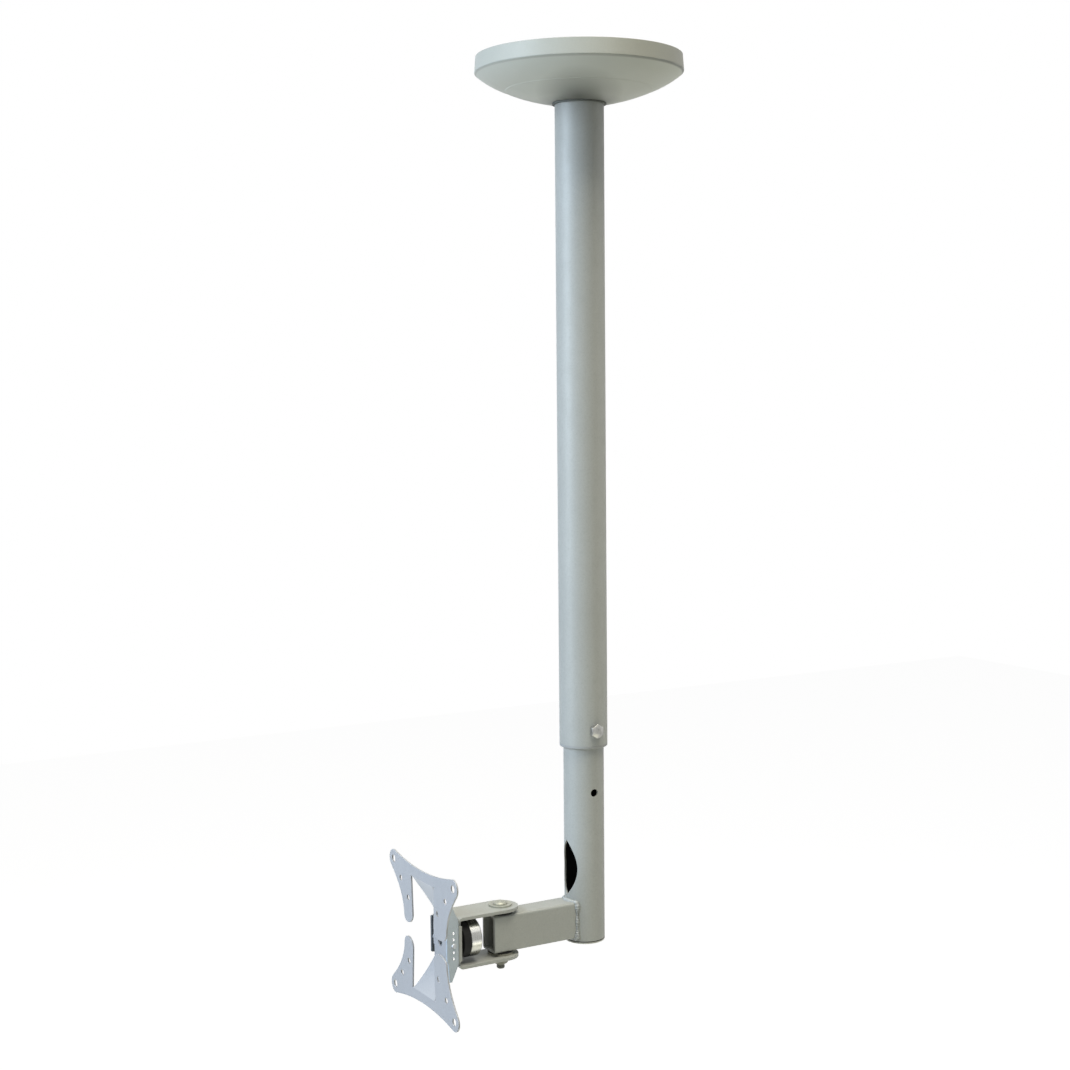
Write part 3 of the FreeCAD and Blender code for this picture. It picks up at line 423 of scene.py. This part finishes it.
pole_paint = silver_paint("pole_paint", PAINT, bore=INNER_BORE)
upper_paint = silver_paint("upper_paint", PAINT, bore=OUTER_BORE, cover_shade_from=TUBE_SHADE_START)
head_paint = silver_paint("head_paint", PAINT)
plate_paint = silver_paint("plate_paint", LIT_PLATE_PAINT, painted_light_lift=1.3)
cheek_paint = silver_paint("cheek_paint", LIT_CHEEK_PAINT, shaded_from=-10 * MM)
weld_paint = silver_paint("weld_paint", LIT_WELD_PAINT, 0.7 * MM)
cover_skin = moulded_plastic("cover_skin", COVER, cover=True)
grey_skin = moulded_plastic("grey_skin", GREY)
cap_skin = end_cap("cap_skin", CAP)
black_skin = moulded_plastic("black_skin", BLACK, 0.6, 0.12)
spacer_skin = spacer_plastic("spacer_skin", BLACK, SPACER_REFLECTION_PALE, SPACER_DARK_TO)
black_rubber = rubber("black_rubber", RUBBER)
shadow_ring_rubber = rubber("shadow_ring_rubber", SHADOW_RING_GREY)
zinc = plated_steel("zinc", ZINC, 0.4, edge_highlight_gain=1.5, metallic=0.5, dark_below=FORK_LOW)
nut_zinc = plated_steel("nut_zinc", NUT_ZINC, 0.4, 2 * MM, edge_highlight_gain=2.2, metallic=0.6)
lock_zinc = plated_steel("lock_zinc", LOCK_ZINC, 0.3, 2 * MM, edge_highlight_gain=2.6, metallic=0.8)
bright = plated_steel("bright", BRIGHT, 0.2)
pivot_steel = plated_steel("pivot_steel", PIVOT_STEEL, 0.45, 2 * MM, metallic=0.5)
raw_steel = plated_steel("raw_steel", RAW_STEEL, 0.42, 9 * MM, metallic=0.6)
collar_steel = plated_steel("collar_steel", COLLAR_STEEL, 0.4, metallic=0.6)
disc_steel = turned_steel("disc_steel", DISC_STEEL)

FINISHES = {
    "ceiling_plate": raw_steel,
    "ceiling_cover": cover_skin,
    "cover_ring": shadow_ring_rubber,
    "outer_tube": upper_paint,
    "guide_bush": grey_skin,
    "lock_bolt": lock_zinc,
    "inner_tube": pole_paint,
    "upper_guide": black_skin,
    "tube_cap": cap_skin,
    "arm": head_paint,
    "arm_sleeve": raw_steel,
    "clevis": head_paint,
    "swivel_spacers": spacer_skin,
    "swivel_washer": zinc,
    "swivel_bolt": zinc,
    "swivel_nut": nut_zinc,
    "roll_bolt": collar_steel,
    "roll_disc": disc_steel,
    "friction_washer": black_rubber,
    "roll_collar": collar_steel,
    "tilt_bracket": cheek_paint,
    "screen_plate": plate_paint,
    "pivot_screws": pivot_steel,
}
for node_name, finish in FINISHES.items():
    slots = nodes[node_name].data.materials
    slots.clear()
    slots.append(finish)


# Helpers for added pieces.
def mesh_of(bm, name):
    """A mesh with the points and faces of bm, which is freed."""
    mesh = bpy.data.meshes.new(name)
    bm.to_mesh(mesh)
    bm.free()
    return mesh


def new_piece(name, mesh, finish, body):
    """Shows the mesh as a piece of the given body."""
    piece = bpy.data.objects.new(name, mesh)
    bpy.context.scene.collection.objects.link(piece)
    mesh.materials.append(finish)
    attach(piece, body)
    return piece


def smooth(mesh):
    for polygon in mesh.polygons:
        polygon.use_smooth = True


def closed_tube(path, radius_at, sides):
    """A tube round a closed path; radius_at(index, angle) gives its radius there."""
    bm = bmesh.new()
    rings = []
    for index, point in enumerate(path):
        ahead = (path[(index + 1) % len(path)] - path[index - 1]).normalized()
        out = Vector((point.x, 0, point.z - AXIS_Z)).normalized()
        side = ahead.cross(out).normalized()
        out = side.cross(ahead).normalized()
        ring = []
        for step in range(sides):
            angle = 2 * math.pi * step / sides
            radius = radius_at(index, angle)
            outwards = out * (radius * math.cos(angle))
            sideways = side * (radius * math.sin(angle))
            ring.append(bm.verts.new(point + outwards + sideways))
        rings.append(ring)
    for first, second in zip(rings, rings[1:] + rings[:1]):
        for step in range(sides):
            after = (step + 1) % sides
            bm.faces.new((first[step], first[after], second[after], second[step]))
    bmesh.ops.recalc_face_normals(bm, faces=bm.faces)
    mesh = mesh_of(bm, "tube")
    smooth(mesh)
    return mesh


def arm_outline(step):
    """Points round the arm's section, about step metres apart, from its top middle."""
    half_x = ARM_WIDTH / 2
    half_z = ARM_HEIGHT / 2
    corners = [(half_x, half_z), (half_x, -half_z), (-half_x, -half_z), (-half_x, half_z)]
    starts = [90, 0, -90, 180]
    corner_steps = 4
    points = [(0.0, half_z)]
    for (x, z), start in zip(corners, starts):
        centre_x = x - math.copysign(ARM_CORNER, x)
        centre_z = z - math.copysign(ARM_CORNER, z)
        for part in range(corner_steps + 1):
            angle = math.radians(start - 90 / corner_steps * part)
            points.append((centre_x + ARM_CORNER * math.cos(angle),
                           centre_z + ARM_CORNER * math.sin(angle)))
    points.append((0.0, half_z))
    spread = []
    for (x0, z0), (x1, z1) in zip(points, points[1:]):
        length = math.hypot(x1 - x0, z1 - z0)
        parts = max(1, round(length / step))
        for part in range(parts):
            share = part / parts
            spread.append((x0 + (x1 - x0) * share, z0 + (z1 - z0) * share))
    return spread


# Tolerances of the reshaping: points this near are one, or lie on a row, or span no face.
SAME_POINT = 0.001 * MM
ON_ROW = 0.01 * MM
NO_FACE = 0.002 * MM


def cut_across(name, middle, levels):
    """The node's mesh, with a row of points at each level below and above the middle."""
    bm = bmesh.new()
    bm.from_mesh(nodes[name].data)
    for height in [middle + side * level for level in levels for side in (-1, 1)]:
        everything = bm.verts[:] + bm.edges[:] + bm.faces[:]
        bmesh.ops.bisect_plane(bm, geom=everything, dist=SAME_POINT,
                               plane_co=(0, 0, height), plane_no=(0, 0, 1))
    return bm


def stands_for(name, bm, finish, body):
    """Shows the reshaped mesh in the place of the painted node that it came from."""
    mesh = mesh_of(bm, name + "_formed")
    mesh.materials.clear()
    for polygon in mesh.polygons:
        polygon.use_smooth = False
        polygon.material_index = 0
    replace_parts(new_piece(name + "_formed", mesh, finish, body), name)


# Outer flanks of the plate's fingers: half width at the tip's level, and how fast they open
# towards the ears.
TIP_LEVEL = 9.0 * MM
EAR_LEVEL = 44.0 * MM
LEFT_FLANK = (32.2 * MM, 56.0 * MM)
RIGHT_FLANK = (38.5 * MM, 77.0 * MM)

# What is reshaped: rows of points this far apart, in a band along the outer edge of the
# front sheet. Points this near the edge lie on it.
FLANK_STEP = 2.5 * MM
FLANK_BAND = 8.0 * MM
FLANK_EDGE = 1.0 * MM
SHEET_DEPTH = 1.3 * MM

# The round tip of a finger, and how full its outer quarter is once it is widened; 2 is an
# ellipse. TIP_ROWS are in millimetres from the plate's middle.
TIP_CENTRE_X = 25.8 * MM
TIP_CENTRE_LEVEL = 13.6 * MM
TIP_RADIUS = 8.0 * MM
TIP_FULLNESS = 2.5
TIP_ROWS = (5.8, 6.1, 6.6, 7.4, 8.6, 10.0, 11.8)


def flank_at(side, level):
    """Half width of the plate at this distance above or below its middle."""
    tip, opening = RIGHT_FLANK if side > 0 else LEFT_FLANK
    return tip + max(level - TIP_LEVEL, 0.0) ** 2 / opening


def tip_stretch(side, level):
    """How much wider a finger's outer quarter becomes at this level of its round tip."""
    rise = min((TIP_CENTRE_LEVEL - level) / TIP_RADIUS, 0.999)
    full = (1 - rise ** TIP_FULLNESS) ** (1 / TIP_FULLNESS)
    reach = flank_at(side, TIP_CENTRE_LEVEL) - TIP_CENTRE_X
    return reach * full / (TIP_RADIUS * math.sqrt(1 - rise ** 2))


def screen_plate_formed():
    """The plate with each finger's outer flank drawn in one curve from tip to ear."""
    count = math.ceil((EAR_LEVEL - TIP_CENTRE_LEVEL) / FLANK_STEP)
    levels = [TIP_CENTRE_LEVEL + FLANK_STEP * index for index in range(count + 1)]
    bm = cut_across("screen_plate", PLATE_Z, levels + [row * MM for row in TIP_ROWS])

    def level_of(v):
        return abs(v.co.z - PLATE_Z)

    sheet = [v for v in bm.verts if v.co.y <= PLATE_FRONT + SHEET_DEPTH]
    widest = [max(abs(v.co.x) for v in sheet if abs(level_of(v) - level) < ON_ROW)
              for level in levels]
    for v in sheet:
        level = level_of(v)
        across = abs(v.co.x)
        if level > EAR_LEVEL:
            continue
        if level < TIP_CENTRE_LEVEL:
            if across > TIP_CENTRE_X:
                across = TIP_CENTRE_X + (across - TIP_CENTRE_X) * tip_stretch(v.co.x, level)
        else:
            place = min((level - TIP_CENTRE_LEVEL) / FLANK_STEP, len(levels) - 1.001)
            low = int(place)
            edge = widest[low] + (widest[low + 1] - widest[low]) * (place - low)
            inner = edge - FLANK_BAND
            if across > inner:
                share = 1.0 if across > edge - FLANK_EDGE else (across - inner) / FLANK_BAND
                across = inner + share * (flank_at(v.co.x, level) - inner)
        v.co.x = math.copysign(across, v.co.x)
    bmesh.ops.dissolve_degenerate(bm, dist=NO_FACE, edges=bm.edges)
    stands_for("screen_plate", bm, plate_paint, "screen")


# Front edge of the bracket's far cheek: how far the nose and the notches beside it lie back.
NOSE_HALF = 14.0 * MM
NOTCH_START = 14.9 * MM
NOTCH_END = 27.0 * MM
NOSE_SETBACK = 2.1 * MM
NOTCH_SETBACK = 6.3 * MM
CHEEK_ROOT = 3.0 * MM


def tilt_bracket_formed():
    """The bracket, its cheek on the -X side with a shorter nose and a notch either side of it."""
    levels = [NOSE_HALF, NOTCH_START, (NOTCH_START + NOTCH_END) / 2, NOTCH_END]
    bm = cut_across("tilt_bracket", CHEEK_MIDDLE, levels)
    for v in bm.verts:
        level = abs(v.co.z - CHEEK_MIDDLE)
        forward = (CHEEK_FRONT + CHEEK_ROOT - v.co.y) / CHEEK_ROOT
        if forward <= 0 or v.co.x > -CHEEK_IN or level > NOTCH_END:
            continue
        if level < NOSE_HALF + ON_ROW:
            setback = NOSE_SETBACK
        else:
            setback = NOTCH_SETBACK * (NOTCH_END - level) / (NOTCH_END - NOTCH_START)
        v.co.y += setback * min(forward, 1.0)
    stands_for("tilt_bracket", bm, cheek_paint, "head")


def weld_bead():
    """The bead where the arm's end is welded to the pole."""
    point_step = 0.35 * MM
    stand_off = 0.6 * MM
    sides = 10
    path = []
    for x, z in arm_outline(point_step):
        y = -math.sqrt(INNER_RADIUS ** 2 - x ** 2)
        path.append(Vector((x, y - stand_off, AXIS_Z + z)))

    def radius_at(index, angle):
        drops = abs(math.sin(index * 0.55 + 0.8 * math.sin(index * 0.13)))
        swell = 0.4 * math.sin(index * 0.19 + 1.0) + 0.3 * math.sin(index * 0.071)
        ripple = 0.12 * math.sin(3 * angle + index * 1.7)
        return (1.1 + 0.65 * drops + swell + ripple) * MM

    new_piece("weld_bead", closed_tube(path, radius_at, sides), weld_paint, "drop")


def bolt_thread():
    """Thread on the swivel bolt's tip, under the nut."""
    turns = 3.0
    steps = 96
    depth = 0.28 * MM
    sunk = 0.05 * MM
    half_height = 0.42 * MM
    least_height = 0.01 * MM
    end_gap = 0.35 * MM
    fade_share = 8
    length = BOLT_TIP_HIGH - BOLT_TIP_LOW - 2 * end_gap
    bm = bmesh.new()
    rings = []
    for index in range(steps + 1):
        share = index / steps
        angle = 2 * math.pi * turns * share
        fade = min(1.0, fade_share * share, fade_share * (1 - share))
        out = Vector((math.cos(angle), math.sin(angle), 0))
        base = Vector((0, SWIVEL_Y, BOLT_TIP_LOW + end_gap + length * share))
        base += out * (BOLT_TIP_RADIUS - sunk)
        crest = base + out * depth * fade
        half = Vector((0, 0, half_height * fade + least_height))
        rings.append([bm.verts.new(point) for point in (base - half, crest, base + half)])
    for first, second in zip(rings, rings[1:]):
        for step in range(3):
            after = (step + 1) % 3
            bm.faces.new((first[step], second[step], second[after], first[after]))
    bm.faces.new(rings[0])
    bm.faces.new(list(reversed(rings[-1])))
    bmesh.ops.recalc_face_normals(bm, faces=bm.faces)
    new_piece("bolt_thread", mesh_of(bm, "thread"), zinc, "fork")


def dome(bm, centre, axis, radius, height, rings=5, sides=20):
    """A low dome with a closed flat base, standing out along the axis."""
    turn = axis.to_track_quat("Z", "Y").to_matrix().to_4x4()
    place = Matrix.Translation(centre) @ turn

    def point(across, angle, up):
        spot = Vector((across * math.cos(angle), across * math.sin(angle), up))
        return bm.verts.new(place @ spot)

    layers = []
    for ring in range(rings):
        climb = math.pi / 2 * ring / rings
        across = radius * math.cos(climb)
        up = height * math.sin(climb)
        layers.append([point(across, 2 * math.pi * k / sides, up) for k in range(sides)])
    top = point(0, 0, height)
    for low, high in zip(layers, layers[1:]):
        for k in range(sides):
            after = (k + 1) % sides
            bm.faces.new((low[k], low[after], high[after], high[k]))
    for k in range(sides):
        bm.faces.new((layers[-1][k], layers[-1][(k + 1) % sides], top))
    bm.faces.new(list(reversed(layers[0])))


def tilt_marks():
    """Bright pips pressed into the small holes of the bracket's cheeks."""
    radius = 1.28 * MM
    height = 0.85 * MM
    sunk = 0.5 * MM
    bm = bmesh.new()
    for side in (-1, 1):
        for row in (-2, -1, 1, 2):
            centre = Vector((side * (CHEEK_OUT - sunk), PIVOT_Y, AXIS_Z + MARK_PITCH * row))
            dome(bm, centre, Vector((side, 0, 0)), radius, height)
    mesh = mesh_of(bm, "marks")
    smooth(mesh)
    new_piece("tilt_marks", mesh, bright, "head")


screen_plate_formed()
tilt_bracket_formed()
weld_bead()
bolt_thread()
tilt_marks()


# Camera at the photograph's viewing angle, as a turn from -Y towards +X.
VIEW_TURN = math.radians(58.5)
CAMERA_DISTANCE = 1368.57 * MM
CAMERA_HEIGHT = -250.9 * MM
CAMERA_TILT = math.radians(85.13)
CAMERA_ROLL = math.radians(0.514)
CAMERA_PAN = math.radians(1.503)

camera_data = bpy.data.cameras.new("camera")
camera_data.sensor_width = 36.0
camera_data.lens = 58.88
camera_data.clip_start = 0.05
camera_data.clip_end = 60.0
camera = bpy.data.objects.new("camera", camera_data)
camera.location = (CAMERA_DISTANCE * math.sin(VIEW_TURN),
                   -CAMERA_DISTANCE * math.cos(VIEW_TURN), CAMERA_HEIGHT)
camera.rotation_euler = (CAMERA_TILT, CAMERA_ROLL, VIEW_TURN + CAMERA_PAN)
bpy.context.scene.collection.objects.link(camera)
bpy.context.scene.camera = camera


# Floor and world: both show white to the camera and in reflections.
FLOOR_Z = -2.4
FLOOR_HALF = 9.0
FLOOR_COLOUR = (0.62, 0.62, 0.62, 1.0)
FLOOR_GLOW = 0.93
WHITE = (1.0, 1.0, 1.0, 1.0)
WORLD_LEVEL = 0.07


def seen_directly(tree):
    """1 for camera, glossy and transmission rays."""
    path = tree.nodes.new("ShaderNodeLightPath")
    found = path.outputs["Is Camera Ray"]
    for kind in ("Is Glossy Ray", "Is Transmission Ray"):
        either = tree.nodes.new("ShaderNodeMath")
        either.operation = "MAXIMUM"
        tree.links.new(found, either.inputs[0])
        tree.links.new(path.outputs[kind], either.inputs[1])
        found = either.outputs[0]
    return found


def floor_material():
    """Pale and diffuse, and nearly white where it is seen directly."""
    material = bpy.data.materials.new("floor")
    material.use_nodes = True
    tree = material.node_tree
    tree.nodes.clear()
    output = tree.nodes.new("ShaderNodeOutputMaterial")
    diffuse = tree.nodes.new("ShaderNodeBsdfDiffuse")
    diffuse.inputs["Color"].default_value = FLOOR_COLOUR
    glow = tree.nodes.new("ShaderNodeEmission")
    strength = tree.nodes.new("ShaderNodeMath")
    strength.operation = "MULTIPLY"
    tree.links.new(seen_directly(tree), strength.inputs[0])
    strength.inputs[1].default_value = FLOOR_GLOW
    tree.links.new(strength.outputs[0], glow.inputs["Strength"])
    both = tree.nodes.new("ShaderNodeAddShader")
    tree.links.new(diffuse.outputs[0], both.inputs[0])
    tree.links.new(glow.outputs[0], both.inputs[1])
    tree.links.new(both.outputs[0], output.inputs["Surface"])
    return material


def make_floor():
    """One wide square that keeps the object's shadow."""
    bm = bmesh.new()
    corners = [(-1, -1), (1, -1), (1, 1), (-1, 1)]
    bm.faces.new([bm.verts.new((x * FLOOR_HALF, y * FLOOR_HALF, FLOOR_Z)) for x, y in corners])
    mesh = mesh_of(bm, "floor")
    floor = bpy.data.objects.new("floor", mesh)
    bpy.context.scene.collection.objects.link(floor)
    mesh.materials.append(floor_material())


def make_world():
    """Even low light from all round, and white where it is seen directly."""
    world = bpy.data.worlds.new("world")
    bpy.context.scene.world = world
    world.use_nodes = True
    tree = world.node_tree
    tree.nodes.clear()
    output = tree.nodes.new("ShaderNodeOutputWorld")
    lighting = tree.nodes.new("ShaderNodeBackground")
    lighting.inputs["Color"].default_value = WHITE
    lighting.inputs["Strength"].default_value = WORLD_LEVEL
    white = tree.nodes.new("ShaderNodeBackground")
    white.inputs["Color"].default_value = WHITE
    white.inputs["Strength"].default_value = 1.0
    mix = tree.nodes.new("ShaderNodeMixShader")
    tree.links.new(seen_directly(tree), mix.inputs["Fac"])
    tree.links.new(lighting.outputs[0], mix.inputs[1])
    tree.links.new(white.outputs[0], mix.inputs[2])
    tree.links.new(mix.outputs[0], output.inputs["Surface"])


# The point that every lamp faces, near the middle of the part.
LIT_POINT = Vector((0, -0.03, -0.37))


def lamp(name, right, near, up, size, power, colour):
    """A soft lamp, in metres to the right of LIT_POINT, nearer to the camera and above it."""
    turn = VIEW_TURN + CAMERA_PAN
    across = Vector((math.cos(turn), math.sin(turn), 0))
    towards = Vector((math.sin(turn), -math.cos(turn), 0))
    data = bpy.data.lights.new(name, "AREA")
    data.shape = "RECTANGLE"
    data.size, data.size_y = size
    data.energy = power
    data.color = colour
    light = bpy.data.objects.new(name, data)
    light.location = LIT_POINT + across * right + towards * near + Vector((0, 0, up))
    light.rotation_euler = (LIT_POINT - light.location).to_track_quat("-Z", "Y").to_euler()
    bpy.context.scene.collection.objects.link(light)


make_floor()
make_world()
lamp("key", -1.5, 0.7, 0.5, (1.0, 1.6), 38.0, (0.72, 0.84, 1.0))
lamp("top", 0.3, 0.5, 2.2, (1.6, 1.6), 71.0, (1.0, 0.93, 0.78))
lamp("below", 0.6, 0.9, -1.7, (1.8, 1.8), 11.0, (1.0, 0.98, 0.7))
lamp("front", 0.5, 2.0, 0.6, (1.4, 1.4), 1.2, (1.0, 1.0, 1.0))
lamp("right", 1.6, -0.3, 0.2, (0.8, 1.6), 2.4, (1.0, 1.0, 1.0))

bpy.context.scene.view_settings.view_transform = "Standard"
